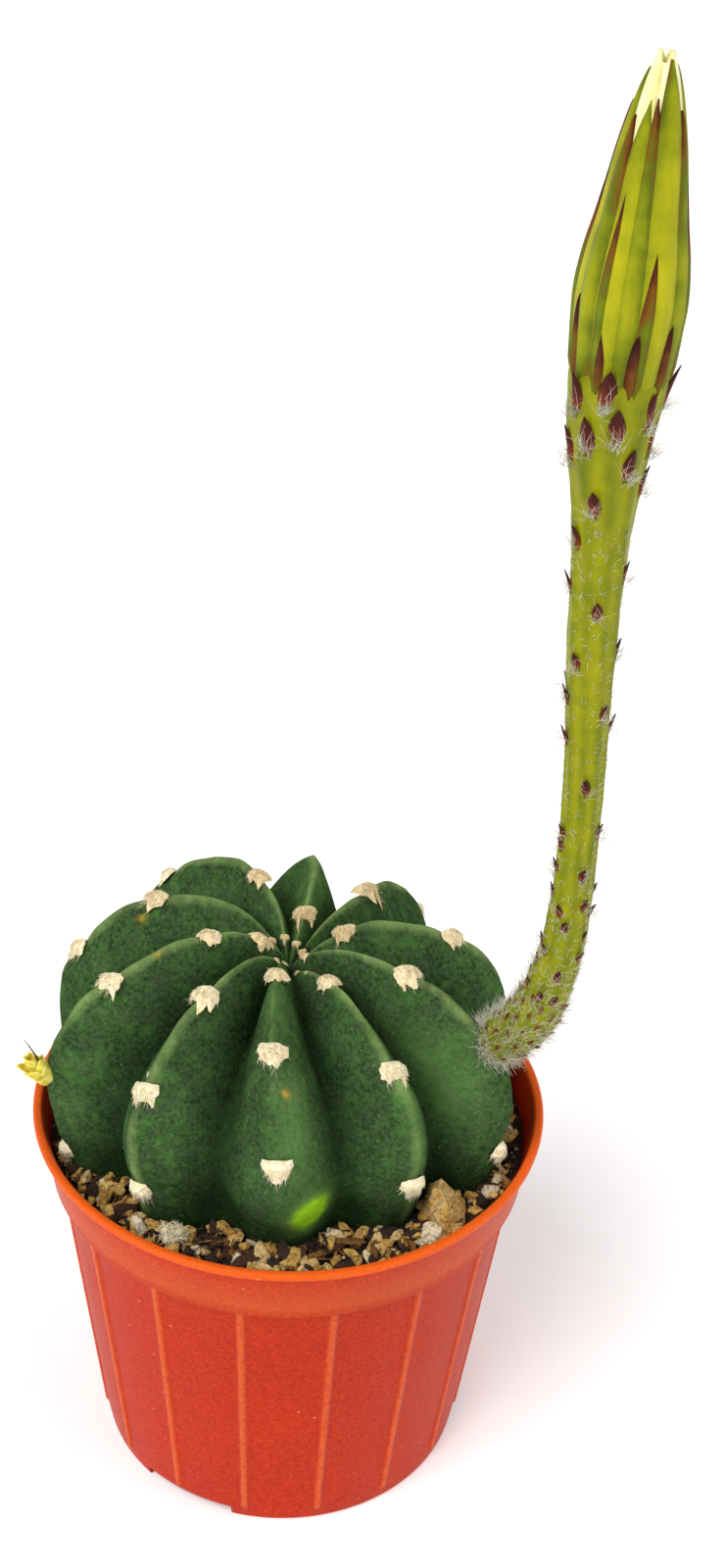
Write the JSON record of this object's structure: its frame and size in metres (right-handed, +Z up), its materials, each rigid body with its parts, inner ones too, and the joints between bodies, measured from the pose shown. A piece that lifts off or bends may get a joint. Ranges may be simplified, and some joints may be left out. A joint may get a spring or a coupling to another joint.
{
  "type": "potted echinopsis",
  "caption": "Ribbed globe cactus with woolly areoles and one tall closed flower bud, in a round plastic nursery pot filled with soil and pumice.",
  "frame": {"origin": "centre of the pot's flat base, on the surface that it stands on", "axes": "+Z up along the pot's axis, front of the plant towards -Y, flower on the +X side"},
  "size_m": [0.0971, 0.09, 0.2656],
  "materials": {
    "pot_plastic": "satin moulded polypropylene, orange-red",
    "soil_mix": "damp peat and bark with pumice grains",
    "pumice": "rough tan pumice",
    "cactus_skin": "satin dark green cactus skin",
    "tube_green": "yellow-green floral tube with red-brown scales",
    "tepal_green": "yellow-green outer tepals with maroon edges",
    "petal_cream": "pale cream petals",
    "dried_yellow": "dry papery yellow"
  },
  "bodies": {
    "root": {"pot": "pot_plastic", "soil": "soil_mix", "pumice_stone_large": "pumice", "pumice_stone_oval": "pumice", "pumice_stone_flat": "pumice", "cactus_stem": "cactus_skin", "flower_tube": "tube_green", "bud_tepals": "tepal_green", "bud_petals": "petal_cream", "withered_bud": "dried_yellow"}
  },
  "joints": []
}
